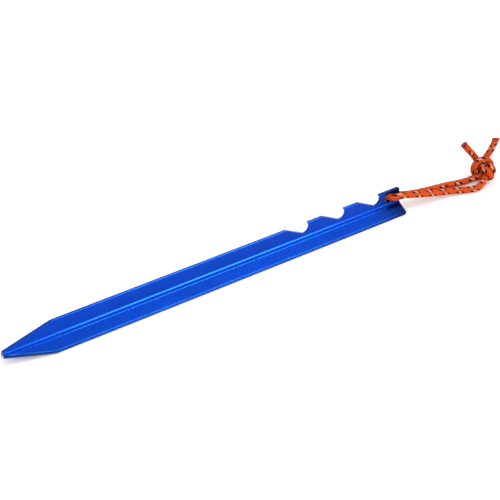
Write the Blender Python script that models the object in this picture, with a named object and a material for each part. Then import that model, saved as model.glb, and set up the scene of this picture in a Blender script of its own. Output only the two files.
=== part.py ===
import math

import bmesh
import bpy
from mathutils import Vector

# Tent peg cut from a three-finned extrusion, with a loop of braided cord tied through its head.
# Metres. The peg lies along X, its tip at -X and its head at +X. One fin stands up, and the
# long edges of the other two rest on the ground at z = 0.

# Extrusion
peg_length = 0.180
fin_width = 0.0068
fin_thickness = 0.0011
fin_edge_radius = 0.0005
valley_radius = 0.0025

# Tip, where each fin is cut down at a slant
upright_taper_length = 0.0203
lower_taper_length = 0.0180
tip_fin_width = 0.00137

# Head, where the fins' outer corners are rounded
head_corner_radius = 0.0011

# Hook notches in the upright fin, counted from the head
notch_count = 3
first_notch_from_head = 0.0101
notch_pitch = 0.01815
notch_length = 0.0119
notch_floor_above_hub = 0.0022
notch_radius = 0.0022
hook_nose_radius = 0.0006

# Cord hole in the upright fin
hole_diameter = 0.0040
hole_from_head = 0.0057
hole_above_hub = 0.0035

# Pull cord
cord_diameter = 0.0028
cord_to_fin_clearance = 0.0004
knot_diameter = 0.0104
knot_from_head = 0.0454
knot_sideways = -0.0028
knot_ground_clearance = 0.0001
knot_turns = 4
knot_groove_depth = 0.00045
knot_lean = 40.0
cord_to_knot_clearance = 0.0003
drop_in_turn = 0.0002
strand_step = 0.0030
bend_step = 0.0012

# How far the cutters reach past the surfaces they cut
cut_margin = 0.0010

# Colours and surfaces
peg_colour = (0.006, 0.080, 0.540, 1.0)
cord_colour = (0.600, 0.105, 0.020, 1.0)

# Sizes that follow from the ones above
half_thickness = fin_thickness / 2
edge_radius = min(fin_edge_radius, half_thickness)
hub_height = (
    (fin_width - edge_radius) * math.sin(math.radians(30))
    + (half_thickness - edge_radius) * math.cos(math.radians(30))
    + edge_radius
)
tip_x = -peg_length / 2
head_x = peg_length / 2
hole_x = head_x - hole_from_head
hole_z = hub_height + hole_above_hub
cord_radius = cord_diameter / 2
strand_offset = half_thickness + cord_to_fin_clearance + cord_radius
knot_radius = knot_diameter / 2
knot_centre = Vector((head_x + knot_from_head, knot_sideways, knot_radius + knot_ground_clearance))


def clear_scene():
    for item in list(bpy.data.objects):
        bpy.data.objects.remove(item, do_unlink=True)


def new_material(name, colour, roughness, metallic, coat):
    material = bpy.data.materials.new(name)
    material.use_nodes = True
    shader = material.node_tree.nodes["Principled BSDF"]
    shader.inputs["Base Color"].default_value = colour
    shader.inputs["Roughness"].default_value = roughness
    shader.inputs["Metallic"].default_value = metallic
    shader.inputs["Coat Weight"].default_value = coat
    material.diffuse_color = colour
    return material


def object_from_bmesh(name, mesh_data, material=None):
    bmesh.ops.recalc_face_normals(mesh_data, faces=mesh_data.faces)
    mesh = bpy.data.meshes.new(name)
    mesh_data.to_mesh(mesh)
    mesh_data.free()
    if material is not None:
        mesh.materials.append(material)
    item = bpy.data.objects.new(name, mesh)
    bpy.context.collection.objects.link(item)
    return item


def mark_as_cutter(item):
    item.hide_render = True
    item.display_type = "WIRE"


def subtract(item, cutter):
    modifier = item.modifiers.new(cutter.name, "BOOLEAN")
    modifier.operation = "DIFFERENCE"
    modifier.solver = "EXACT"
    modifier.object = cutter


def arc(centre, radius, first, last, steps):
    points = []
    for step in range(steps + 1):
        angle = math.radians(first + (last - first) * step / steps)
        points.append(Vector(centre) + radius * Vector((math.cos(angle), math.sin(angle))))
    return points


def extrude_outline(mesh_data, points, shift):
    # One closed body: the outline given by its points, pushed along the shift.
    face = mesh_data.faces.new([mesh_data.verts.new(point) for point in points])
    result = bmesh.ops.extrude_face_region(mesh_data, geom=[face])
    moved = [item for item in result["geom"] if isinstance(item, bmesh.types.BMVert)]
    bmesh.ops.translate(mesh_data, verts=moved, vec=shift)


def fin_direction(fin):
    # Fin 0 stands up, and the other two follow at thirds of a turn about the hub.
    angle = math.radians(90 + 120 * fin)
    return Vector((0.0, math.cos(angle), math.sin(angle)))


def fin_side(fin):
    along = fin_direction(fin)
    return Vector((0.0, -along.z, along.y))


def section_outline():
    # The Y section in y and z with the hub's axis at zero, counter-clockwise.
    # Each fin gives its rounded long edge and then the fillet up to the next fin.
    fillet_out = (half_thickness + valley_radius) / math.sin(math.radians(60))
    points = []
    for fin in range(3):
        turn = 90 + 120 * fin
        along = Vector((math.cos(math.radians(turn)), math.sin(math.radians(turn))))
        across = Vector((-along.y, along.x))
        end = along * (fin_width - edge_radius)
        spread = across * (half_thickness - edge_radius)
        points += arc(end - spread, edge_radius, turn - 90, turn, 4)
        points += arc(end + spread, edge_radius, turn, turn + 90, 4)
        middle = math.radians(turn + 60)
        fillet = Vector((math.cos(middle), math.sin(middle))) * fillet_out
        points += arc(fillet, valley_radius, turn - 90, turn - 150, 8)
    return points


def cut_tapers(mesh_data):
    # Each fin's long edge is sliced by a plane that meets the tip at the narrow width.
    taper_lengths = (upright_taper_length, lower_taper_length, lower_taper_length)
    for fin, taper_length in enumerate(taper_lengths):
        slope = (fin_width - tip_fin_width) / taper_length
        along = fin_direction(fin)
        start = Vector((tip_x, 0.0, hub_height)) + along * tip_fin_width
        normal = (along - Vector((slope, 0.0, 0.0))).normalized()
        geometry = list(mesh_data.verts) + list(mesh_data.edges) + list(mesh_data.faces)
        bmesh.ops.bisect_plane(
            mesh_data, geom=geometry, dist=1e-7, plane_co=start, plane_no=normal, clear_outer=True
        )
        rim = [edge for edge in mesh_data.edges if edge.is_boundary]
        bmesh.ops.holes_fill(mesh_data, edges=rim)


def notch_outline():
    # The notch in u, measured from the hook's recess towards the tip, and v above the hub.
    # A ramp falls to a round seat, which runs up under the hook to its rounded nose.
    seat = Vector((notch_radius, notch_floor_above_hub + notch_radius))
    ramp_top = Vector((notch_length, fin_width))
    reach = ramp_top - seat
    touch = math.degrees(math.atan2(reach.y, reach.x) - math.acos(notch_radius / reach.length))
    rise = fin_width - hook_nose_radius - seat.y
    span = notch_radius + hook_nose_radius
    run = math.sqrt(span * span - rise * rise)
    nose = Vector((seat.x - run, fin_width - hook_nose_radius))
    under = math.degrees(math.atan2(rise, -run))
    seat_points = arc(seat, notch_radius, touch, under - 360, 14)
    nose_points = arc(nose, hook_nose_radius, under - 180, 80, 6)
    ramp_way = (ramp_top - seat_points[0]).normalized()
    ramp_start = ramp_top + ramp_way * cut_margin
    last = nose_points[-1]
    way = Vector((-math.sin(math.radians(80)), math.cos(math.radians(80))))
    past = last + way * ((fin_width + 0.1 * cut_margin - last.y) / way.y)
    top = fin_width + 2 * cut_margin
    roof = [Vector((past.x, top)), Vector((ramp_start.x, top))]
    return [ramp_start] + seat_points + nose_points[1:] + [past] + roof


def make_notch_cutter():
    mesh_data = bmesh.new()
    depth = fin_thickness + 2 * cut_margin
    for notch in range(notch_count):
        recess_x = head_x - first_notch_from_head - notch * notch_pitch
        points = []
        for point in notch_outline():
            points.append(Vector((recess_x - point.x, -depth / 2, hub_height + point.y)))
        extrude_outline(mesh_data, points, Vector((0.0, depth, 0.0)))
    return object_from_bmesh("notch_cutter", mesh_data)


def make_corner_cutter():
    # The part outside each fin's rounded outer corner at the head.
    mesh_data = bmesh.new()
    depth = fin_thickness + 2 * cut_margin
    centre = Vector((head_x - head_corner_radius, fin_width - head_corner_radius))
    curve = arc(centre, head_corner_radius, 85, 5, 6)
    flat = math.tan(math.radians(5))
    over = fin_width + 0.1 * cut_margin
    past = head_x + 0.1 * cut_margin
    first = Vector((curve[0].x - (over - curve[0].y) / flat, over))
    last = Vector((past, curve[-1].y - (past - curve[-1].x) / flat))
    far_x = head_x + cut_margin
    far_r = fin_width + cut_margin
    outside = [Vector((far_x, last.y)), Vector((far_x, far_r)), Vector((first.x, far_r))]
    outline = [first] + curve + [last] + outside
    for fin in range(3):
        side = fin_side(fin)
        points = []
        for point in outline:
            place = Vector((point.x, 0.0, hub_height)) + fin_direction(fin) * point.y
            points.append(place - side * depth / 2)
        extrude_outline(mesh_data, points, side * depth)
    return object_from_bmesh("corner_cutter", mesh_data)


def make_hole_cutter():
    mesh_data = bmesh.new()
    depth = fin_thickness + 2 * cut_margin
    points = []
    for point in arc((hole_x, hole_z), hole_diameter / 2, 0, 360 - 360 / 36, 35):
        points.append(Vector((point.x, -depth / 2, point.y)))
    extrude_outline(mesh_data, points, Vector((0.0, depth, 0.0)))
    return object_from_bmesh("hole_cutter", mesh_data)


def make_peg_body(material):
    mesh_data = bmesh.new()
    points = [Vector((tip_x, point.x, hub_height + point.y)) for point in section_outline()]
    extrude_outline(mesh_data, points, Vector((peg_length, 0.0, 0.0)))
    cut_tapers(mesh_data)
    item = object_from_bmesh("peg_body", mesh_data, material)
    for cutter in (make_corner_cutter(), make_notch_cutter(), make_hole_cutter()):
        mark_as_cutter(cutter)
        subtract(item, cutter)
    item.data.shade_smooth()
    item.data.set_sharp_from_angle(angle=math.radians(30))
    return item


def smooth_curve(points, per_span=40):
    # A smooth curve through every point, with its speed set by the square root of each span.
    # Three rounds of blending between neighbours, each over these pairs of knot values.
    rounds = (((0, 1), (1, 2), (2, 3)), ((0, 2), (1, 3)), ((1, 2),))
    ends = [points[0] * 2 - points[1]] + list(points) + [points[-1] * 2 - points[-2]]
    curve = []
    for index in range(1, len(ends) - 2):
        group = ends[index - 1:index + 3]
        knots = [0.0]
        for first, second in zip(group, group[1:]):
            knots.append(knots[-1] + math.sqrt((second - first).length))
        for step in range(per_span):
            place = knots[1] + (knots[2] - knots[1]) * step / per_span
            level = group
            for pairs in rounds:
                blended = []
                for (low, high), first, second in zip(pairs, level, level[1:]):
                    blended.append(first.lerp(second, (place - knots[low]) / (knots[high] - knots[low])))
                level = blended
            curve.append(level[0])
    curve.append(points[-1].copy())
    return curve


def spaced(curve, step):
    # Points along the curve at equal distances close to the step, with both of its ends.
    lengths = [0.0]
    for first, second in zip(curve, curve[1:]):
        lengths.append(lengths[-1] + (second - first).length)
    count = max(2, round(lengths[-1] / step))
    points = []
    index = 0
    for number in range(count + 1):
        place = lengths[-1] * number / count
        while index < len(curve) - 2 and lengths[index + 1] < place:
            index += 1
        share = (place - lengths[index]) / (lengths[index + 1] - lengths[index])
        points.append(curve[index].lerp(curve[index + 1], min(max(share, 0.0), 1.0)))
    return points


def clear_of_knot(curve):
    # The points where a tube's cross-section stays outside the knot by the clearance.
    limit = knot_radius + cord_to_knot_clearance
    kept = []
    for index, point in enumerate(curve):
        before = curve[max(index - 1, 0)]
        after = curve[min(index + 1, len(curve) - 1)]
        way = (after - before).normalized()
        out = point - knot_centre
        along = out.dot(way)
        aside = max((out - way * along).length - cord_radius, 0.0)
        if math.hypot(along, aside) >= limit:
            kept.append(point)
    return kept


def make_tube(name, points, material):
    curve = bpy.data.curves.new(name, "CURVE")
    curve.dimensions = "3D"
    curve.bevel_depth = cord_radius
    curve.bevel_resolution = 2
    curve.use_fill_caps = True
    spline = curve.splines.new("POLY")
    spline.points.add(len(points) - 1)
    for place, point in zip(spline.points, points):
        place.co = (point.x, point.y, point.z, 1.0)
    spline.use_smooth = True
    curve.materials.append(material)
    item = bpy.data.objects.new(name, curve)
    bpy.context.collection.objects.link(item)
    return item


def turn_in_hole():
    # The cord passes through the hole and turns towards the head round the fin's far rim.
    points = []
    for angle in (-90, -60, -30, 0, 30, 60, 90):
        x = hole_x + strand_offset * (1 - math.cos(math.radians(angle)))
        y = strand_offset * math.sin(math.radians(angle))
        z = hole_z - drop_in_turn * abs(math.sin(math.radians(angle)))
        points.append(Vector((x, y, z)))
    return points


def place_points(rows):
    # Route points in millimetres: beyond the head's end, sideways, and above the ground.
    return [Vector((head_x + x / 1000, y / 1000, z / 1000)) for x, y, z in rows]


def make_loop(material):
    near = place_points([
        (0.8, -2.42, 6.35),
        (6.0, -2.80, 5.30),
        (11.8, -3.30, 4.20),
        (18.4, -3.85, 2.90),
        (26.4, -5.30, 2.00),
        (32.0, -7.00, 1.50),
        (37.0, -8.60, 1.50),
        (40.6, -8.20, 1.90),
        (43.2, -5.80, 3.30),
    ])
    far = place_points([
        (2.0, 2.30, 5.90),
        (7.2, 0.85, 4.45),
        (12.7, -0.15, 3.45),
        (20.5, -0.80, 2.70),
        (29.5, -1.40, 1.90),
        (36.5, -1.50, 1.70),
        (41.9, -2.70, 2.90),
    ])
    turn = turn_in_hole()
    curve = smooth_curve(list(reversed(near)) + turn + far)
    middle = Vector((hole_x, 0.0, hole_z))
    half = min(range(len(curve)), key=lambda index: (curve[index] - middle).length)
    reach = 2.2 * strand_offset
    first = clear_of_knot([point for point in curve[:half] if (point - middle).length > reach])
    last = clear_of_knot([point for point in curve[half:] if (point - middle).length > reach])
    bend = [point for point in curve if (point - middle).length <= reach]
    points = spaced(first, strand_step) + spaced(bend, bend_step) + spaced(last, strand_step)
    return make_tube("cord_loop", points, material)


def make_knot(material):
    # The knot's outer form, a ball with a groove between each turn of the cord round it.
    # Its axis leans up from the pull direction.
    mesh_data = bmesh.new()
    profile = []
    steps = 8 * knot_turns
    for step in range(1, steps):
        angle = math.pi * step / steps
        height = -knot_radius * math.cos(angle)
        groove = knot_groove_depth * (1 + math.cos(2 * math.pi * knot_turns * step / steps)) / 2
        profile.append(Vector(((knot_radius - groove) * math.sin(angle), 0.0, height)))
    low = mesh_data.verts.new((0.0, 0.0, -knot_radius))
    high = mesh_data.verts.new((0.0, 0.0, knot_radius))
    verts = [low] + [mesh_data.verts.new(point) for point in profile] + [high]
    edges = [mesh_data.edges.new(pair) for pair in zip(verts, verts[1:])]
    bmesh.ops.spin(
        mesh_data, geom=verts + edges, cent=(0, 0, 0), axis=(0, 0, 1), angle=math.tau, steps=24,
        use_merge=True
    )
    bmesh.ops.remove_doubles(mesh_data, verts=mesh_data.verts, dist=1e-6)
    item = object_from_bmesh("cord_knot", mesh_data, material)
    item.data.shade_smooth()
    item.location = knot_centre
    item.rotation_euler = (0.0, math.radians(90 - knot_lean), 0.0)
    return item


def make_tails(material):
    left = place_points([(45.2, 1.4, 8.4), (43.6, 3.4, 11.2), (41.5, 5.5, 14.0)])
    right = place_points([(48.6, -0.9, 8.8), (51.8, -0.2, 12.0), (55.0, 0.35, 15.0)])
    for name, rows in (("cord_tail_left", left), ("cord_tail_right", right)):
        root = knot_centre + (rows[0] - knot_centre).normalized() * (knot_radius * 0.6)
        curve = clear_of_knot(smooth_curve([root] + rows))
        make_tube(name, spaced(curve, bend_step), material)


def build():
    clear_scene()
    anodised = new_material("anodised", peg_colour, 0.30, 0.9, 0.4)
    braid = new_material("braid", cord_colour, 0.75, 0.0, 0.0)
    make_peg_body(anodised)
    make_loop(braid)
    make_knot(braid)
    make_tails(braid)


build()
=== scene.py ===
import math

import bmesh
import bpy
import numpy as np
from mathutils import Matrix, Vector


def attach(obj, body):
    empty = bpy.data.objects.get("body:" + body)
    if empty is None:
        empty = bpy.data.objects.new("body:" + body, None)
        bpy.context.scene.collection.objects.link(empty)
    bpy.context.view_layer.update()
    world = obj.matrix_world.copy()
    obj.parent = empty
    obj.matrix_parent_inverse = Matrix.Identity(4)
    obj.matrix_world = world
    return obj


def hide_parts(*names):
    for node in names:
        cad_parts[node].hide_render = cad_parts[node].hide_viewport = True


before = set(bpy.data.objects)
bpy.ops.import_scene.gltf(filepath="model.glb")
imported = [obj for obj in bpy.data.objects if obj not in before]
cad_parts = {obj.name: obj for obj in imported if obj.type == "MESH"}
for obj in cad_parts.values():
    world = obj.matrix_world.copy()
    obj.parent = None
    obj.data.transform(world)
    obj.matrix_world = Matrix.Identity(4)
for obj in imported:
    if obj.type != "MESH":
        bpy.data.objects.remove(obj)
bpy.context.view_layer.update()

# Tent peg with its tied pull cord, in metres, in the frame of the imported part.
# The peg lies along X with its head at +X, and rests on the floor at z = 0.

print("stage: camera")

view = {
    "place": (-0.2438, -0.3566, 0.2846),
    "downDegrees": 32.162,
    "turnDegrees": -35.997,
    "lensMm": 98.47,
    "sensorMm": 36.0,
}


def makeCamera():
    data = bpy.data.cameras.new("camera")
    data.lens = view["lensMm"]
    data.sensor_width = view["sensorMm"]
    data.clip_start = 0.01
    camera = bpy.data.objects.new("camera", data)
    camera.location = view["place"]
    tilt, turn = math.radians(90 - view["downDegrees"]), math.radians(view["turnDegrees"])
    camera.rotation_euler = (tilt, 0.0, turn)
    bpy.context.scene.collection.objects.link(camera)
    bpy.context.scene.camera = camera
    return camera


camera = makeCamera()
# Its rows point right, up and towards the camera.
viewAxes = np.array(camera.rotation_euler.to_matrix().transposed())


# Small helpers for node trees

def startMaterial(name):
    material = bpy.data.materials.new(name)
    material.use_nodes = True
    tree = material.node_tree
    return material, tree, tree.nodes["Principled BSDF"]


def feed(tree, socket, value):
    if isinstance(value, bpy.types.NodeSocket):
        tree.links.new(value, socket)
    else:
        socket.default_value = value


def sums(tree, operation, first, second=None, third=None):
    node = tree.nodes.new("ShaderNodeMath")
    node.operation = operation
    for socket, value in zip(node.inputs, (first, second, third)):
        if value is not None:
            feed(tree, socket, value)
    return node.outputs[0]


def blendColour(tree, share, first, second):
    node = tree.nodes.new("ShaderNodeMix")
    node.data_type = "RGBA"
    # Sockets 0, 6 and 7 are the share and the two colours.
    for socket, value in ((node.inputs[0], share), (node.inputs[6], first), (node.inputs[7], second)):
        feed(tree, socket, value)
    return node.outputs[2]


def noise(tree, vector, scale, detail=2.0, roughness=0.5):
    node = tree.nodes.new("ShaderNodeTexNoise")
    node.inputs["Scale"].default_value = scale
    node.inputs["Detail"].default_value = detail
    node.inputs["Roughness"].default_value = roughness
    tree.links.new(vector, node.inputs["Vector"])
    return node.outputs["Fac"]


def spread(tree, value, low, high, newLow, newHigh):
    node = tree.nodes.new("ShaderNodeMapRange")
    node.interpolation_type = "SMOOTHSTEP"
    for socket, given in zip(node.inputs, (value, low, high, newLow, newHigh)):
        feed(tree, socket, given)
    return node.outputs[0]


def attribute(tree, name):
    node = tree.nodes.new("ShaderNodeAttribute")
    node.attribute_name = name
    return node.outputs["Fac"]


def bump(tree, height, strength, distance):
    node = tree.nodes.new("ShaderNodeBump")
    node.inputs["Strength"].default_value = strength
    node.inputs["Distance"].default_value = distance
    tree.links.new(height, node.inputs["Height"])
    return node.outputs["Normal"]


# Pull cord: one length of round braid, from the left tail through the knot, along the far side to
# the hole, back along the near side and through the knot again to the right tail.

print("stage: cord")

cord = {
    "diameter": 0.0028,
    "hole": (0.0843, 0.0, 0.0071933),
    "inHole": (0.0847, 0.0, 0.0075),
    "knot": (0.1354, -0.0028, 0.0053),
    "nearRun": [
        (0.0851, -0.0011, 0.00755), (0.0860, -0.0019, 0.0075), (0.0874, -0.00215, 0.00735),
        (0.0908, -0.0022, 0.0070), (0.0960, -0.0027, 0.00585), (0.1018, -0.0033, 0.0045),
        (0.1084, -0.00385, 0.0031), (0.1164, -0.0053, 0.0020), (0.1220, -0.0072, 0.0015),
        (0.1265, -0.0087, 0.0015), (0.1298, -0.0080, 0.00195),
    ],
    "farRun": [
        (0.0848, 0.0012, 0.0069), (0.0851, 0.0022, 0.0059), (0.0862, 0.0027, 0.0051),
        (0.0880, 0.0028, 0.0052), (0.0905, 0.0026, 0.0052), (0.0930, 0.0019, 0.0047),
        (0.0980, 0.0007, 0.0040), (0.1030, -0.00015, 0.0037), (0.1105, -0.00075, 0.00315),
        (0.1170, -0.0012, 0.0026), (0.1230, -0.0017, 0.0019), (0.1270, -0.0019, 0.0016),
    ],
    "halfLength": 0.103,   # from the hole to either tail's end
    "ringStep": 0.0001,
    "sides": 80,
    "pathStep": 5,         # rings from one point to the next where a coarser line will do
    "joinRings": 40,       # of the other half that run on from this one and give it no painted shade
    "ownReach": 0.0045,    # along the cord, within which it gives itself no painted shade
    "batch": 4000,         # points of the surface that are measured at once
    "tuckFrom": 0.0022,    # distance to another strand's centreline at which its painted shade begins
    "tuckOver": 0.0008,
    "tuckPower": 1.3,
    "tuckShade": 0.93,
    "endRings": 4,         # that round off a cut end
    "endShare": 0.72,      # size of the last ring beside the others
    "sealedEnd": 0.0016,
    "sealedFlare": 0.09,
    "sealedShade": 0.8,
    "slantOver": 0.0018,   # length over which a slanted cut bends the last rings
    "slantPower": 1.5,
    "slantRings": 10,      # back from the end, which give its direction
}

# The knot, in millimetres from its middle as the camera sees it: right, up and towards the camera.
# The near strand goes up over the left and under, and leaves as the right tail.
nearInKnot = [
    (-0.1, -4.9, 2.6), (0.6, -3.4, 1.5), (1.4, -1.6, 0.6), (2.3, 0.2, 0.6), (2.9, 1.9, 0.8),
    (2.0, 3.2, 1.6), (0.3, 3.7, 2.1), (-1.5, 3.3, 2.2), (-3.0, 2.1, 1.8), (-3.8, 0.4, 1.1),
    (-3.5, -1.2, -0.2), (-2.3, -1.4, -2.0), (-0.4, -0.8, -2.8), (1.6, -0.8, -2.6), (3.3, -1.0, -1.2),
    (4.0, -1.1, 0.6), (3.4, -0.2, 2.4), (2.3, 1.1, 2.9), (1.3, 1.9, 1.5), (0.6, 2.0, -0.3),
    (0.3, 2.3, -1.7), (0.5, 3.1, -2.6), (1.3, 4.6, -2.6), (3.05, 7.0, -2.3), (4.6, 9.9, -2.0),
    (5.85, 13.1, -1.77),
]
farInKnot = [
    (-5.0, -4.45, 1.2), (-2.8, -4.0, 0.8), (-1.2, -3.1, 0.2), (-0.2, -1.8, -0.2), (0.6, -0.2, -0.9),
    (1.9, 1.7, -1.3), (1.6, 3.0, -0.8), (0.1, 3.5, -0.2), (-1.5, 3.1, -0.1), (-2.9, 1.9, -0.4),
    (-3.6, 0.3, -1.2), (-3.3, -1.3, -2.1), (-2.0, -2.6, -2.2), (-0.2, -3.2, -1.8), (1.6, -3.8, -1.2),
    (3.0, -3.9, 0.2), (2.7, -3.1, 2.2), (1.5, -1.5, 3.4), (0.3, 0.1, 3.0), (-0.7, 1.1, 1.5),
    (-1.5, 1.4, -0.3), (-1.9, 2.0, -2.0), (-2.4, 3.4, -2.6), (-3.4, 5.2, -1.8), (-5.8, 7.5, -0.3),
    (-8.62, 10.29, 1.12),
]


def fromView(rows):
    return [np.array(cord["knot"]) + 0.001 * np.array(row) @ viewAxes for row in rows]


def smoothCurve(points, perSpan=24):
    # A smooth curve through every point, in three rounds of blending between neighbours.
    rounds = (((0, 1), (1, 2), (2, 3)), ((0, 2), (1, 3)), ((1, 2),))
    ends = [2 * points[0] - points[1]] + list(points) + [2 * points[-1] - points[-2]]
    curve = []
    for index in range(1, len(ends) - 2):
        group = ends[index - 1:index + 3]
        knots = [0.0]
        for first, second in zip(group, group[1:]):
            knots.append(knots[-1] + math.sqrt(np.linalg.norm(second - first)))
        for step in range(perSpan):
            place = knots[1] + (knots[2] - knots[1]) * step / perSpan
            level = group
            for pairs in rounds:
                level = [
                    first + (second - first) * (place - knots[low]) / (knots[high] - knots[low])
                    for (low, high), first, second in zip(pairs, level, level[1:])
                ]
            curve.append(level[0])
    curve.append(points[-1])
    return np.array(curve)


def evenly(curve, step):
    lengths = np.concatenate(([0.0], np.cumsum(np.linalg.norm(np.diff(curve, axis=0), axis=1))))
    places = np.linspace(0.0, lengths[-1], max(2, round(lengths[-1] / step)) + 1)
    return np.stack([np.interp(places, lengths, curve[:, axis]) for axis in range(3)], axis=1)


knotFit = {
    "step": 0.00035,       # spacing of the points that are pushed
    "spacing": 0.0022,     # of neighbouring strands, which are squeezed where they touch
    "ownReach": 0.0034,    # along the cord, within which it doesn't push itself
    "pushReach": 0.012,    # from the knot's middle, for the points that push
    "push": 0.5,           # share of the lacking room that a round makes
    "pull": 0.35,          # share of the way to a smooth line that a round goes
    "reach": 0.0062,       # of the knot from its middle
    "heldPoints": 4,       # at the hole, which stay where they are
    "across": 0.0038,      # from the middle to the outermost strand's centreline, as seen
    "lean": (0.48, -0.88),    # way in which the knot reaches further out, as seen
    "leanShare": 0.25,
    "belowTails": 0.0039,  # height over the middle, as seen, below which the knot is drawn in
    "drawReach": 0.0055,   # from the middle, for the points that are drawn in
    "draw": 0.5,
    "rounds": 80,
    "easeReach": 0.013,
    "easing": 10,
    "start": 0.053,        # along the cord from the hole, where the strands are in the knot
}


def pushApart(points, chosen, skip, held):
    place = points[chosen]
    gaps = place[:, None] - place[None, :]
    size = np.linalg.norm(gaps, axis=2) + 1e-12
    spacing = knotFit["spacing"]
    lack = np.where((size < spacing) & ~skip, spacing - size, 0.0)
    move = (gaps / size[..., None] * lack[..., None]).sum(axis=1)
    move = move / np.maximum((lack > 0).sum(axis=1), 1)[:, None] * knotFit["push"]
    move[held[chosen]] = 0.0
    points[chosen] += move


def smoothStrand(points, mine, held):
    line = points[mine]
    pull = np.zeros_like(line)
    pull[2:-2] = (-line[:-4] + 4 * line[1:-3] + 4 * line[3:-1] - line[4:]) / 6 - line[2:-2]
    pull[held[mine]] = 0.0
    points[mine] = line + knotFit["pull"] * pull


def drawIn(points, middle, mayMove):
    # Keeps the knot as small as it is seen, and larger only on the side that it leans to.
    seen = (points - middle) @ viewAxes.T
    out = np.linalg.norm(seen[:, :2], axis=1)
    lean = np.clip(seen[:, :2] @ np.array(knotFit["lean"]) / out, 0.0, 1.0) ** 3
    limit = knotFit["across"] * (1 + knotFit["leanShare"] * lean)
    wide = mayMove & (seen[:, 1] < knotFit["belowTails"]) & (out > limit)
    wide &= np.linalg.norm(seen, axis=1) < knotFit["drawReach"]
    seen[wide, :2] *= (1 - knotFit["draw"] * (1 - limit[wide] / out[wide]))[:, None]
    points[wide] = middle + seen[wide] @ viewAxes


def settle(strands):
    # Pushes the strands in the knot apart where they would share space, and rounds them off.
    points = np.vstack(strands)
    middle = np.array(cord["knot"])
    owner = np.concatenate([np.full(len(strand), index) for index, strand in enumerate(strands)])
    number = np.concatenate([np.arange(len(strand)) for strand in strands])
    fromMiddle = np.linalg.norm(points - middle, axis=1)
    held = (fromMiddle > knotFit["reach"]) | (number <= knotFit["heldPoints"])
    chosen = np.where(fromMiddle < knotFit["pushReach"])[0]
    apart = np.abs(number[:, None] - number[None, :]) * knotFit["step"]
    alongside = (owner[:, None] == owner[None, :]) & (apart < knotFit["ownReach"])
    skip = alongside[np.ix_(chosen, chosen)]
    inKnot = ~held & (number * knotFit["step"] > knotFit["start"])
    for turn in range(knotFit["rounds"]):
        pushApart(points, chosen, skip, held)
        for index in range(len(strands)):
            smoothStrand(points, np.where(owner == index)[0], held)
        low = (points[:, 2] < cord["diameter"] / 2) & ~held
        points[low, 2] = cord["diameter"] / 2
        drawIn(points, middle, inKnot)
    near = (np.linalg.norm(points - middle, axis=1) < knotFit["easeReach"])[1:-1]
    near &= (np.diff(owner)[:-1] == 0) & (np.diff(owner)[1:] == 0)
    for turn in range(knotFit["easing"]):
        points[1:-1][near] += 0.5 * ((points[:-2] + points[2:]) / 2 - points[1:-1])[near]
    cuts = np.cumsum([len(strand) for strand in strands])[:-1]
    return np.split(points, cuts)


nearSide = [np.array(row) for row in [cord["inHole"]] + cord["nearRun"]] + fromView(nearInKnot)
farSide = [np.array(row) for row in [cord["inHole"]] + cord["farRun"]] + fromView(farInKnot)
strands = settle([evenly(smoothCurve(side), knotFit["step"]) for side in (nearSide, farSide)])
nearLine, farLine = [evenly(smoothCurve(list(strand), 4), cord["ringStep"]) for strand in strands]

braid = {
    "yarns": 8,          # in each direction
    # distance from the hole, minus along the far side: pitches along the cord, and its twist in turns
    "along": [
        (-0.120, -17.0), (-0.0978, -13.156), (-0.0830, -10.6), (-0.0483, -5.656), (-0.0399, -4.656),
        (-0.0320, -3.656), (-0.0243, -2.656), (0.0, 0.45), (0.0026, 0.69), (0.0068, 1.0),
        (0.0134, 1.844), (0.0204, 2.844), (0.0275, 3.844), (0.0346, 4.844), (0.0412, 5.844),
        (0.0643, 9.094), (0.0989, 14.344), (0.120, 17.5),
    ],
    "twist": [
        (-0.120, -0.130), (-0.094, -0.130), (-0.070, -0.042), (-0.052, -0.085), (-0.006, -0.085),
        (0.0, 0.0), (0.003, 0.040), (0.056, 0.040), (0.0643, 0.081), (0.080, 0.081),
        (0.094, -0.046), (0.120, -0.046),
    ],
    "crown": 0.00013,    # height of a yarn over the crease beside it
    "level": 0.75,       # share of that height which lies at the cord's own diameter
    "dip": 0.6,          # how far a yarn sinks where it goes under the others
}


def ringFrames(line, middle):
    # Two directions across the line at each ring, carried both ways from the middle without twist.
    ways = np.gradient(line, axis=0)
    ways /= np.linalg.norm(ways, axis=1)[:, None]
    sides = np.zeros_like(line)
    for order in (range(middle, len(line)), range(middle, -1, -1)):
        side = np.array((0.0, 0.0, 1.0))
        for index in order:
            side = side - ways[index] * side.dot(ways[index])
            side = side / np.linalg.norm(side)
            sides[index] = side
    return sides, np.cross(ways, sides)


def placeOnBraid(distance, turn):
    # Where a point of the cord's surface lies in the braid's pattern.
    turn = turn + np.interp(distance, *zip(*braid["twist"]))
    return turn, np.interp(distance, *zip(*braid["along"]))


def braidHeight(turn, along):
    # The braid's relief, from the share of a turn round the cord and the pitches along it.
    count = braid["yarns"]
    right = (turn - along) * count
    left = (turn + along) * count
    rightYarn, leftYarn = np.floor(right), np.floor(left)
    over = np.mod(rightYarn + leftYarn, 4) < 2
    across = np.where(over, right - rightYarn, left - leftYarn)
    run = np.where(over, np.mod(rightYarn + left, 4), np.mod(right + leftYarn, 4) - 2) / 2
    run = np.clip(run, 0.0, 1.0)
    crown = np.sqrt(np.clip(1 - (2 * across - 1) ** 2, 0.0, 1.0))
    return crown * (1 - braid["dip"] + braid["dip"] * np.sin(math.pi * run))


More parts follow.
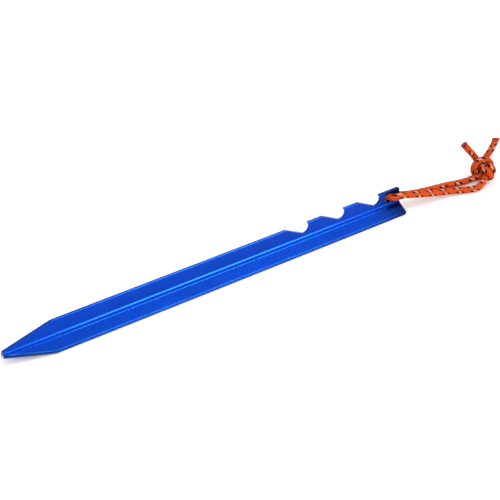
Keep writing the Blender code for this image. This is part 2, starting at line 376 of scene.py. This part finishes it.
def makeTube(name, line, sides, ahead, slant, materials):
    # A grid rolled round the centreline: x runs along it and y round it.
    rings = len(line)
    shape = bmesh.new()
    shape.loops.layers.uv.new("braid")
    bmesh.ops.create_grid(
        shape, x_segments=rings - 1, y_segments=cord["sides"], size=1.0, calc_uvs=True
    )
    mesh = bpy.data.meshes.new(name)
    shape.to_mesh(mesh)
    shape.free()
    flat = np.empty(len(mesh.vertices) * 3)
    mesh.vertices.foreach_get("co", flat)
    flat = flat.reshape(-1, 3)
    ring = np.rint((flat[:, 0] + 1) / 2 * (rings - 1)).astype(int)
    turn = np.mod(np.rint((flat[:, 1] + 1) / 2 * cord["sides"]), cord["sides"]) / cord["sides"]
    ringsLeft = rings - 1 - ring
    toEnd = ringsLeft * cord["ringStep"]
    relief = braidHeight(*placeOnBraid(ahead * ring * cord["ringStep"], turn)) - braid["level"]
    radius = cord["diameter"] / 2 + braid["crown"] * relief
    whole = np.sqrt(1 - (1 - np.clip(ringsLeft / cord["endRings"], 0.0, 1.0)) ** 2)
    radius *= cord["endShare"] + (1 - cord["endShare"]) * whole
    radius *= 1 + cord["sealedFlare"] * np.clip(1 - toEnd / cord["sealedEnd"], 0.0, 1.0)
    angle = 2 * math.pi * turn
    out = sides[0][ring] * np.cos(angle)[:, None] + sides[1][ring] * np.sin(angle)[:, None]
    ease = np.clip(1 - toEnd / cord["slantOver"], 0.0, 1.0) ** cord["slantPower"]
    onward = line[-1] - line[-cord["slantRings"]]
    onward /= np.linalg.norm(onward)
    shift = slant * radius * ease * (out @ viewAxes[0])
    places = line[ring] + out * radius[:, None] + onward * shift[:, None]
    mesh.vertices.foreach_set("co", places.ravel())
    uv = np.empty(len(mesh.loops) * 2)
    mesh.uv_layers["braid"].uv.foreach_get("vector", uv)
    uv = uv.reshape(-1, 2)
    uv = np.stack(placeOnBraid(ahead * uv[:, 0] * (rings - 1) * cord["ringStep"], uv[:, 1]), axis=1)
    mesh.uv_layers["braid"].uv.foreach_set("vector", uv.ravel())
    shape = bmesh.new()
    shape.from_mesh(mesh)
    bmesh.ops.remove_doubles(shape, verts=shape.verts, dist=1e-7)
    rim = [edge for edge in shape.edges if edge.is_boundary]
    caps = bmesh.ops.holes_fill(shape, edges=rim)["faces"]
    for cap in caps:
        cap.material_index = 1
    bmesh.ops.recalc_face_normals(shape, faces=shape.faces)
    for face in shape.faces:
        face.smooth = len(face.verts) == 4
    shape.to_mesh(mesh)
    shape.free()
    for material in materials:
        mesh.materials.append(material)
    piece = bpy.data.objects.new(name, mesh)
    bpy.context.scene.collection.objects.link(piece)
    return piece


yarns = {
    "orange": (0.68, 0.092, 0.017, 1.0),
    "deepOrange": (0.50, 0.048, 0.009, 1.0),
    "black": (0.026, 0.003, 0.002, 1.0),
    "pale": (0.66, 0.37, 0.28, 1.0),
    # painted shade for the creases between yarns and between strands
    "paintedCreaseShade": (0.085, 0.006, 0.002, 1.0),
    "singed": (0.20, 0.016, 0.006, 1.0),
    "cutDark": (0.05, 0.008, 0.006, 1.0),
    "cutLight": (0.34, 0.05, 0.02, 1.0),
    "paleYarns": (2.0, 0.9),                 # middle of the run of yarns, and half its width
    "blackYarns": ((0.5, 0.80), (3.5, 0.80)),
    "fibresAcross": 9.0,
    "fibresAlong": 0.9,
    "fibreSeed": 3.7,                        # per yarn, so that no two look alike
    "creaseFrom": 0.55,                      # share of the way from a yarn's crown to its edge where the painted crease shade begins
    "creaseShade": 0.7,
    "roughness": (0.62, 0.85),
    "shine": 0.06,
    "cutGrain": 4500.0,
    "cutRoughness": 0.8,
}


def makeBraidMaterial():
    material, tree, shader = startMaterial("braidedCord")
    uv = tree.nodes.new("ShaderNodeUVMap")
    uv.uv_map = "braid"
    split = tree.nodes.new("ShaderNodeSeparateXYZ")
    tree.links.new(uv.outputs[0], split.inputs[0])
    turn, along = split.outputs[0], split.outputs[1]
    count = float(braid["yarns"])
    # The same braid as in braidHeight.
    right = sums(tree, "MULTIPLY", sums(tree, "SUBTRACT", turn, along), count)
    left = sums(tree, "MULTIPLY", sums(tree, "ADD", turn, along), count)
    rightYarn, leftYarn = sums(tree, "FLOOR", right), sums(tree, "FLOOR", left)
    both = sums(tree, "ADD", rightYarn, leftYarn)
    over = sums(tree, "LESS_THAN", sums(tree, "FLOORED_MODULO", both, 4.0), 2.0)
    under = sums(tree, "SUBTRACT", 1.0, over)
    rightShare = sums(tree, "MULTIPLY", sums(tree, "FRACT", right), over)
    leftShare = sums(tree, "MULTIPLY", sums(tree, "FRACT", left), under)
    across = sums(tree, "ADD", rightShare, leftShare)
    run = sums(tree, "ADD", sums(tree, "MULTIPLY", left, over), sums(tree, "MULTIPLY", right, under))
    kind = sums(tree, "FLOORED_MODULO", right, count)
    pale = sums(tree, "MULTIPLY", sums(tree, "COMPARE", kind, *yarns["paleYarns"]), over)
    blacks = [sums(tree, "COMPARE", kind, *group) for group in yarns["blackYarns"]]
    black = sums(tree, "MULTIPLY", sums(tree, "MAXIMUM", *blacks), over)
    fibres = tree.nodes.new("ShaderNodeCombineXYZ")
    feed(tree, fibres.inputs[0], sums(tree, "MULTIPLY", across, yarns["fibresAcross"]))
    feed(tree, fibres.inputs[1], sums(tree, "MULTIPLY", run, yarns["fibresAlong"]))
    feed(tree, fibres.inputs[2], sums(tree, "MULTIPLY", both, yarns["fibreSeed"]))
    strand = noise(tree, fibres.outputs[0], 1.0, 2.0, 0.6)
    # Painted shade, darker towards each yarn's edges where it meets the creases.
    paintedCreaseShade = sums(tree, "ABSOLUTE", sums(tree, "SUBTRACT", sums(tree, "MULTIPLY", across, 2.0), 1.0))
    paintedCreaseShade = spread(tree, paintedCreaseShade, yarns["creaseFrom"], 1.0, 0.0, 1.0)
    paintedCreaseShade = sums(tree, "MULTIPLY", paintedCreaseShade, yarns["creaseShade"])
    deeper = spread(tree, strand, 0.3, 0.7, 0.0, 0.55)
    colour = blendColour(tree, deeper, yarns["orange"], yarns["deepOrange"])
    # The crease colour is painted shade, laid on at the yarns' edges and where strands press together.
    layers = (
        (pale, "pale"), (black, "black"), (paintedCreaseShade, "paintedCreaseShade"),
        (attribute(tree, "singed"), "singed"), (attribute(tree, "paintedTuckShade"), "paintedCreaseShade"),
    )
    for share, name in layers:
        colour = blendColour(tree, share, colour, yarns[name])
    tree.links.new(colour, shader.inputs["Base Color"])
    roughness = spread(tree, strand, 0.2, 0.8, *yarns["roughness"])
    tree.links.new(roughness, shader.inputs["Roughness"])
    shader.inputs["Specular IOR Level"].default_value = yarns["shine"]
    tree.links.new(bump(tree, strand, 0.5, 0.00004), shader.inputs["Normal"])
    return material


def makeCutEndMaterial():
    material, tree, shader = startMaterial("cutCordEnd")
    place = tree.nodes.new("ShaderNodeTexCoord").outputs["Object"]
    grain = noise(tree, place, yarns["cutGrain"], 2.0, 0.6)
    patches = spread(tree, grain, 0.35, 0.65, 0.0, 1.0)
    colour = blendColour(tree, patches, yarns["cutDark"], yarns["cutLight"])
    tree.links.new(colour, shader.inputs["Base Color"])
    shader.inputs["Roughness"].default_value = yarns["cutRoughness"]
    tree.links.new(bump(tree, grain, 0.6, 0.00008), shader.inputs["Normal"])
    return material


def markSurface(piece, line, others):
    # How far each point lies in the crease between two strands, for painted shade, and how near it is
    # to the sealed end.
    count = len(piece.data.vertices)
    flat = np.empty(count * 3)
    piece.data.vertices.foreach_get("co", flat)
    flat = flat.reshape(-1, 3)
    mine, rest = line[::cord["pathStep"]], others[::cord["pathStep"]]
    pointStep = cord["pathStep"] * cord["ringStep"]
    paintedTuckShade, sealed = np.zeros(count), np.zeros(count)
    number = np.arange(len(mine))
    for first in range(0, count, cord["batch"]):
        batch = slice(first, first + cord["batch"])
        part = flat[batch]
        gaps = np.linalg.norm(part[:, None] - mine[None], axis=2)
        own = gaps.argmin(axis=1)
        gaps[np.abs(number[None] - own[:, None]) * pointStep < cord["ownReach"]] = 1.0
        toRest = np.linalg.norm(part[:, None] - rest[None], axis=2).min(axis=1)
        close = np.minimum(gaps.min(axis=1), toRest)
        paintedTuckShade[batch] = np.clip((cord["tuckFrom"] - close) / cord["tuckOver"], 0.0, 1.0)
        toEnd = (len(mine) - 1 - own) * pointStep
        sealed[batch] = np.clip(1.0 - toEnd / cord["sealedEnd"], 0.0, 1.0)
    # Painted shade where strands press together.
    paintedTuckShade = paintedTuckShade ** cord["tuckPower"] * cord["tuckShade"]
    for name, values in (("paintedTuckShade", paintedTuckShade), ("singed", sealed * cord["sealedShade"])):
        piece.data.attributes.new(name, "FLOAT", "POINT").data.foreach_set("value", values)


cordMaterials = [makeBraidMaterial(), makeCutEndMaterial()]
wholeLine = np.concatenate((farLine[::-1], nearLine[1:]))
middleRing = len(farLine) - 1
wholeSides = ringFrames(wholeLine, middleRing)
nearSides = [part[middleRing:] for part in wholeSides]
farSides = [part[:middleRing + 1][::-1] for part in wholeSides]
halves = (
    # name, centreline, the other half's, directions across, way along the braid, slant of the cut, tail
    ("cordNearHalf", nearLine, farLine, nearSides, 1, 0.36, "cord_tail_right"),
    ("cordFarHalf", farLine, nearLine, farSides, -1, 0.0, "cord_tail_left"),
)
for name, line, other, sides, ahead, slant, tail in halves:
    nodes = ("cord_loop", "cord_knot", tail)
    piece = makeTube(name, line, sides, ahead, slant, cordMaterials)
    markSurface(piece, line, other[cord["joinRings"]:])
    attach(piece, "pull_loop")
    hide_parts(*nodes)
    length = float(np.linalg.norm(np.diff(line, axis=0), axis=1).sum())
    print(name, "centreline", round(length, 4), "faces", len(piece.data.polygons))


# Peg: the extrusion's Y section, with its tip, notches, hole and corners cut as in the solid model.

print("stage: peg")

peg = {
    "length": 0.180,
    "finWidth": 0.0068,
    "finThickness": 0.0011,
    "edgeRadius": 0.0005,
    "valleyRadius": 0.0025,
    "taperLengths": (0.0203, 0.0180, 0.0180),  # of the upright fin and the two lower ones
    "tipFinWidth": 0.00137,
    "cornerRadius": 0.0011,
    "notchCount": 3,
    "firstNotch": 0.0101,
    "notchPitch": 0.01815,
    "notchLength": 0.0119,
    "notchFloor": 0.0022,
    "notchRadius": 0.0022,
    "noseRadius": 0.0006,
    "holeDiameter": 0.0040,
    "holeFromHead": 0.0057,
    "holeAboveHub": 0.0035,
    "burr": 0.0001,      # rounding of the punched and cut edges
    "burrAngle": 40,     # in degrees, from which an edge gets it
    "sharpAngle": 50,    # and from which the shading breaks
    "margin": 0.0010,    # how far the cutters reach past the metal
    "overlap": 0.0001,   # how far a cutter's curve runs on past the metal's edge
    "cornerEase": 5,     # in degrees, left of a head corner's quarter turn at either end
    "noseEase": 10,      # and of the hook's rounded nose
    "edgeSteps": 8,
    "valleySteps": 24,
    "seatSteps": 40,
    "noseSteps": 14,
    "cornerSteps": 16,
    "holeSteps": 60,
}
halfFin = peg["finThickness"] / 2
hubHeight = (
    (peg["finWidth"] - peg["edgeRadius"]) * math.sin(math.radians(30))
    + (halfFin - peg["edgeRadius"]) * math.cos(math.radians(30))
    + peg["edgeRadius"]
)
headX = peg["length"] / 2


def arc(centre, radius, first, last, steps):
    angles = [math.radians(first + (last - first) * step / steps) for step in range(steps + 1)]
    return [Vector(centre) + radius * Vector((math.cos(angle), math.sin(angle))) for angle in angles]


def extrudeOutline(shape, points, shift):
    face = shape.faces.new([shape.verts.new(point) for point in points])
    pushed = bmesh.ops.extrude_face_region(shape, geom=[face])["geom"]
    moved = [item for item in pushed if isinstance(item, bmesh.types.BMVert)]
    bmesh.ops.translate(shape, verts=moved, vec=shift)


def finWay(fin):
    angle = math.radians(90 + 120 * fin)
    return Vector((0.0, math.cos(angle), math.sin(angle)))


def sectionOutline():
    filletOut = (halfFin + peg["valleyRadius"]) / math.sin(math.radians(60))
    points = []
    for fin in range(3):
        turn = 90 + 120 * fin
        along = Vector((math.cos(math.radians(turn)), math.sin(math.radians(turn))))
        across = Vector((-along.y, along.x))
        end = along * (peg["finWidth"] - peg["edgeRadius"])
        aside = across * (halfFin - peg["edgeRadius"])
        points += arc(end - aside, peg["edgeRadius"], turn - 90, turn, peg["edgeSteps"])
        points += arc(end + aside, peg["edgeRadius"], turn, turn + 90, peg["edgeSteps"])
        middle = math.radians(turn + 60)
        fillet = Vector((math.cos(middle), math.sin(middle))) * filletOut
        points += arc(fillet, peg["valleyRadius"], turn - 90, turn - 150, peg["valleySteps"])
    return points


def cutTapers(shape):
    for fin, taperLength in enumerate(peg["taperLengths"]):
        slope = (peg["finWidth"] - peg["tipFinWidth"]) / taperLength
        along = finWay(fin)
        start = Vector((-headX, 0.0, hubHeight)) + along * peg["tipFinWidth"]
        normal = (along - Vector((slope, 0.0, 0.0))).normalized()
        everything = list(shape.verts) + list(shape.edges) + list(shape.faces)
        bmesh.ops.bisect_plane(
            shape, geom=everything, dist=1e-7, plane_co=start, plane_no=normal, clear_outer=True
        )
        bmesh.ops.holes_fill(shape, edges=[edge for edge in shape.edges if edge.is_boundary])


def notchOutline():
    # From the recess under the hook towards the tip, and up from the hub: a ramp falls to a round
    # seat, which runs up under the hook to its rounded nose.
    radius, nose = peg["notchRadius"], peg["noseRadius"]
    seat = Vector((radius, peg["notchFloor"] + radius))
    rampTop = Vector((peg["notchLength"], peg["finWidth"]))
    reach = rampTop - seat
    touch = math.degrees(math.atan2(reach.y, reach.x) - math.acos(radius / reach.length))
    rise = peg["finWidth"] - nose - seat.y
    run = math.sqrt((radius + nose) ** 2 - rise ** 2)
    noseCentre = Vector((seat.x - run, peg["finWidth"] - nose))
    under = math.degrees(math.atan2(rise, -run))
    noseEnd = 90 - peg["noseEase"]
    seatPoints = arc(seat, radius, touch, under - 360, peg["seatSteps"])
    nosePoints = arc(noseCentre, nose, under - 180, noseEnd, peg["noseSteps"])
    rampStart = rampTop + (rampTop - seatPoints[0]).normalized() * peg["margin"]
    way = Vector((-math.sin(math.radians(noseEnd)), math.cos(math.radians(noseEnd))))
    past = nosePoints[-1] + way * ((peg["finWidth"] + peg["overlap"] - nosePoints[-1].y) / way.y)
    top = peg["finWidth"] + 2 * peg["margin"]
    above = [past, Vector((past.x, top)), Vector((rampStart.x, top))]
    return [rampStart] + seatPoints + nosePoints[1:] + above


def cutWith(piece, shape):
    bmesh.ops.recalc_face_normals(shape, faces=shape.faces)
    mesh = bpy.data.meshes.new("cutter")
    shape.to_mesh(mesh)
    shape.free()
    cutter = bpy.data.objects.new("cutter", mesh)
    bpy.context.scene.collection.objects.link(cutter)
    modifier = piece.modifiers.new("cut", "BOOLEAN")
    modifier.operation = "DIFFERENCE"
    modifier.solver = "EXACT"
    modifier.object = cutter
    bpy.context.view_layer.update()
    cut = bpy.data.meshes.new_from_object(piece.evaluated_get(bpy.context.evaluated_depsgraph_get()))
    piece.modifiers.clear()
    piece.data = cut
    bpy.data.objects.remove(cutter, do_unlink=True)


def makePegBody(material):
    depth = peg["finThickness"] + 2 * peg["margin"]
    shape = bmesh.new()
    section = [Vector((-headX, point.x, hubHeight + point.y)) for point in sectionOutline()]
    extrudeOutline(shape, section, Vector((peg["length"], 0.0, 0.0)))
    cutTapers(shape)
    bmesh.ops.recalc_face_normals(shape, faces=shape.faces)
    mesh = bpy.data.meshes.new("pegBody")
    shape.to_mesh(mesh)
    shape.free()
    piece = bpy.data.objects.new("pegBody", mesh)
    bpy.context.scene.collection.objects.link(piece)

    corners = bmesh.new()
    centre = (headX - peg["cornerRadius"], peg["finWidth"] - peg["cornerRadius"])
    ease = peg["cornerEase"]
    curve = arc(centre, peg["cornerRadius"], 90 - ease, ease, peg["cornerSteps"])
    flat = math.tan(math.radians(ease))
    over, past = peg["finWidth"] + peg["overlap"], headX + peg["overlap"]
    first = Vector((curve[0].x - (over - curve[0].y) / flat, over))
    last = Vector((past, curve[-1].y - (past - curve[-1].x) / flat))
    farX, farR = headX + peg["margin"], peg["finWidth"] + peg["margin"]
    around = [Vector((farX, last.y)), Vector((farX, farR)), Vector((first.x, farR))]
    outline = [first] + curve + [last] + around
    for fin in range(3):
        along = finWay(fin)
        side = Vector((0.0, -along.z, along.y))
        points = [
            Vector((point.x, 0.0, hubHeight)) + along * point.y - side * depth / 2 for point in outline
        ]
        extrudeOutline(corners, points, side * depth)
    cutWith(piece, corners)

    notches = bmesh.new()
    for notch in range(peg["notchCount"]):
        recess = headX - peg["firstNotch"] - notch * peg["notchPitch"]
        points = [
            Vector((recess - point.x, -depth / 2, hubHeight + point.y)) for point in notchOutline()
        ]
        extrudeOutline(notches, points, Vector((0.0, depth, 0.0)))
    cutWith(piece, notches)

    hole = bmesh.new()
    holePlace = (headX - peg["holeFromHead"], hubHeight + peg["holeAboveHub"])
    circle = arc(holePlace, peg["holeDiameter"] / 2, 0, 360, peg["holeSteps"])[:-1]
    rim = [Vector((point.x, -depth / 2, point.y)) for point in circle]
    extrudeOutline(hole, rim, Vector((0.0, depth, 0.0)))
    cutWith(piece, hole)

    shape = bmesh.new()
    shape.from_mesh(piece.data)
    bmesh.ops.remove_doubles(shape, verts=shape.verts, dist=1e-6)
    least = math.radians(peg["burrAngle"])
    sharp = [
        edge for edge in shape.edges
        if len(edge.link_faces) == 2 and edge.calc_face_angle(0.0) > least
    ]
    bmesh.ops.bevel(
        shape, geom=sharp, offset=peg["burr"], offset_type="OFFSET", segments=2, affect="EDGES",
        profile=0.5, material=-1, clamp_overlap=True
    )
    bmesh.ops.recalc_face_normals(shape, faces=shape.faces)
    shape.to_mesh(piece.data)
    shape.free()
    piece.data.shade_smooth()
    piece.data.set_sharp_from_angle(angle=math.radians(peg["sharpAngle"]))
    piece.data.materials.clear()
    piece.data.materials.append(material)
    # Keeps the flats flat beside their rounded rims.
    even = piece.modifiers.new("evenNormals", "WEIGHTED_NORMAL")
    even.keep_sharp = True
    return piece


anodising = {
    "blue": (0.0011, 0.055, 0.50, 1.0),
    "deepBlue": (0.0009, 0.050, 0.46, 1.0),
    "paintedHighlightBlue": (0.018, 0.16, 0.62, 1.0),    # painted highlight where the faces turn into the rounded edges
    "cloudScale": 90.0,
    "drawnLines": (30.0, 5000.0, 5000.0),    # scale of the lines that the extruder's die leaves
    "drawnDepth": 0.000004,
    "roughness": (0.13, 0.22),
    "coat": 0.08,
    "coatRoughness": 0.2,
    "scuffed": 0.20,               # added roughness before the head, where mallets hit
    "scuffedOver": (0.016, 0.002),
    "head": 0.26,                  # painted shade there, for the cord's shadow and dark reflection, beside the rest
    "headOver": (0.019, 0.001),
    "tip": 0.35,                   # and painted shade of the cut end of the tip
    "tipOver": 0.0006,
    # Pairs for the upright fin and the lower fins.
    "paintedRimShades": (0.85, 0.36),          # painted shade of the rounded edges beside that of the faces
    "paintedRimShadeOver": (0.0002, 0.0005),   # from the edge, where that painted shade begins to fade and ends
    "turns": (0.0002, 0.00066),    # how far inside the edge its painted highlight line runs
    "paintedHighlightShares": (0.25, 0.9),     # and how pale that painted highlight is
    "paintedHighlightOver": (0.0001, 0.00028),
    "finsMeet": 0.0002,
}


def makeAnodisedMaterial():
    material, tree, shader = startMaterial("anodisedAluminium")
    place = tree.nodes.new("ShaderNodeTexCoord").outputs["Object"]
    drawn = tree.nodes.new("ShaderNodeMapping")
    drawn.inputs["Scale"].default_value = anodising["drawnLines"]
    tree.links.new(place, drawn.inputs["Vector"])
    lines = noise(tree, drawn.outputs[0], 1.0, 3.0, 0.6)
    cloud = noise(tree, place, anodising["cloudScale"], 3.0, 0.55)
    clouded = spread(tree, cloud, 0.3, 0.7, 0.0, 1.0)
    colour = blendColour(tree, clouded, anodising["blue"], anodising["deepBlue"])

    split = tree.nodes.new("ShaderNodeSeparateXYZ")
    tree.links.new(place, split.inputs[0])
    x, y, z = split.outputs
    above = sums(tree, "SUBTRACT", z, hubHeight)
    squares = sums(tree, "MULTIPLY_ADD", above, above, sums(tree, "MULTIPLY", y, y))

    def perFin(upright, lower):
        return spread(tree, above, -anodising["finsMeet"], anodising["finsMeet"], lower, upright)

    slopes = [(peg["finWidth"] - peg["tipFinWidth"]) / peg["taperLengths"][fin] for fin in (0, 1)]
    fromTip = sums(tree, "ADD", x, headX)
    tapered = sums(tree, "MULTIPLY_ADD", fromTip, perFin(*slopes), peg["tipFinWidth"])
    finWidth = sums(tree, "MINIMUM", tapered, peg["finWidth"])
    inside = sums(tree, "SUBTRACT", finWidth, sums(tree, "SQRT", squares))
    # Painted shade on the rounded edges.
    rim = spread(tree, inside, *anodising["paintedRimShadeOver"], perFin(*anodising["paintedRimShades"]), 1.0)
    # Painted highlight: a pale line just inside each edge.
    aside = sums(tree, "ABSOLUTE", sums(tree, "SUBTRACT", inside, perFin(*anodising["turns"])))
    turn = spread(tree, aside, *anodising["paintedHighlightOver"], perFin(*anodising["paintedHighlightShares"]), 0.0)
    colour = blendColour(tree, turn, colour, anodising["paintedHighlightBlue"])
    # Painted shade on the tip's cut end.
    tip = spread(tree, x, -headX, anodising["tipOver"] - headX, anodising["tip"], 1.0)
    # Painted shade before the head, for the shadow and dark reflection of the cord above it.
    first, last = anodising["headOver"]
    head = spread(tree, x, headX - first, headX - last, 1.0, anodising["head"])
    # All painted shade: the rims, the head and the tip's cut end darken the colour towards black.
    shade = sums(tree, "MULTIPLY", sums(tree, "MULTIPLY", rim, head), tip)
    colour = blendColour(tree, shade, (0.0, 0.0, 0.0, 1.0), colour)
    tree.links.new(colour, shader.inputs["Base Color"])

    wear = sums(tree, "ADD", sums(tree, "MULTIPLY", lines, 0.5), sums(tree, "MULTIPLY", cloud, 0.5))
    first, last = anodising["scuffedOver"]
    scuffed = spread(tree, x, headX - first, headX - last, 0.0, anodising["scuffed"])
    roughness = sums(tree, "ADD", spread(tree, wear, 0.3, 0.7, *anodising["roughness"]), scuffed)
    tree.links.new(roughness, shader.inputs["Roughness"])
    shader.inputs["Metallic"].default_value = 1.0
    shader.inputs["Coat Weight"].default_value = anodising["coat"]
    shader.inputs["Coat Roughness"].default_value = anodising["coatRoughness"]
    tree.links.new(bump(tree, lines, 0.12, anodising["drawnDepth"]), shader.inputs["Normal"])
    return material


pegBody = makePegBody(makeAnodisedMaterial())
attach(pegBody, "peg")
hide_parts("peg_body")
print("peg faces", len(pegBody.data.polygons))


# Floor, world and lights

print("stage: floor and lights")

studio = {
    "floorHalf": 3.0,
    "floorColour": (0.90, 0.90, 0.90, 1.0),
    "floorLift": 0.16,       # brings the lit floor up to white where it is seen
    "worldLight": 0.86,
    "lights": [
        # name, place, aimed at, width, height, watts, colour, mirrored in metal
        ("overhead", (0.1, 0.4, 2.4), (0.05, 0.0, 0.0), 2.6, 2.6, 10.0, (1.0, 1.0, 1.0), False),
        ("front", (-0.29, -1.35, 1.14), (0.05, 0.0, 0.0), 0.5, 0.5, 4.5, (1.0, 1.0, 1.0), False),
        ("lowStrip", (0.67, -1.30, 0.22), (0.0, 0.0, 0.004), 0.40, 0.42, 7.6, (1.0, 0.84, 0.82), True),
        ("backStrip", (0.40, 1.35, 0.34), (0.0, 0.0, 0.004), 1.20, 0.16, 4.0, (1.0, 1.0, 1.0), True),
        ("highStrip", (0.69, -0.42, 1.26), (0.0, 0.0, 0.004), 0.46, 0.10, 2.7, (1.0, 0.84, 0.82), True),
    ],
}


def seenDirectly(tree):
    path = tree.nodes.new("ShaderNodeLightPath")
    both = sums(tree, "MAXIMUM", path.outputs["Is Camera Ray"], path.outputs["Is Glossy Ray"])
    return sums(tree, "MAXIMUM", both, path.outputs["Is Transmission Ray"])


def makeFloor():
    shape = bmesh.new()
    bmesh.ops.create_grid(shape, x_segments=1, y_segments=1, size=studio["floorHalf"])
    mesh = bpy.data.meshes.new("floor")
    shape.to_mesh(mesh)
    shape.free()
    floor = bpy.data.objects.new("floor", mesh)
    bpy.context.scene.collection.objects.link(floor)
    material = bpy.data.materials.new("paleFloor")
    material.use_nodes = True
    tree = material.node_tree
    tree.nodes.clear()
    matt = tree.nodes.new("ShaderNodeBsdfDiffuse")
    matt.inputs["Color"].default_value = studio["floorColour"]
    lift = tree.nodes.new("ShaderNodeEmission")
    feed(tree, lift.inputs["Strength"], sums(tree, "MULTIPLY", seenDirectly(tree), studio["floorLift"]))
    both = tree.nodes.new("ShaderNodeAddShader")
    out = tree.nodes.new("ShaderNodeOutputMaterial")
    tree.links.new(matt.outputs[0], both.inputs[0])
    tree.links.new(lift.outputs[0], both.inputs[1])
    tree.links.new(both.outputs[0], out.inputs["Surface"])
    mesh.materials.append(material)


def makeWorld():
    world = bpy.data.worlds.new("studioWorld")
    world.use_nodes = True
    bpy.context.scene.world = world
    tree = world.node_tree
    background = tree.nodes["Background"]
    background.inputs["Color"].default_value = (1.0, 1.0, 1.0, 1.0)
    light = studio["worldLight"]
    strength = sums(tree, "MULTIPLY_ADD", seenDirectly(tree), 1.0 - light, light)
    tree.links.new(strength, background.inputs["Strength"])


def makeLights():
    for name, place, aim, width, height, watts, colour, mirrored in studio["lights"]:
        data = bpy.data.lights.new(name, "AREA")
        data.shape = "RECTANGLE"
        data.size, data.size_y = width, height
        data.energy = watts
        data.color = colour
        light = bpy.data.objects.new(name, data)
        light.visible_glossy = mirrored
        light.location = place
        back = (Vector(place) - Vector(aim)).normalized()
        wide = (Vector((1.0, 0.0, 0.0)) - back * back.x).normalized()
        light.rotation_euler = Matrix((wide, back.cross(wide), back)).transposed().to_euler()
        bpy.context.scene.collection.objects.link(light)


makeFloor()
makeWorld()
makeLights()
bpy.context.scene.view_settings.view_transform = "Standard"

print("stage: finish")
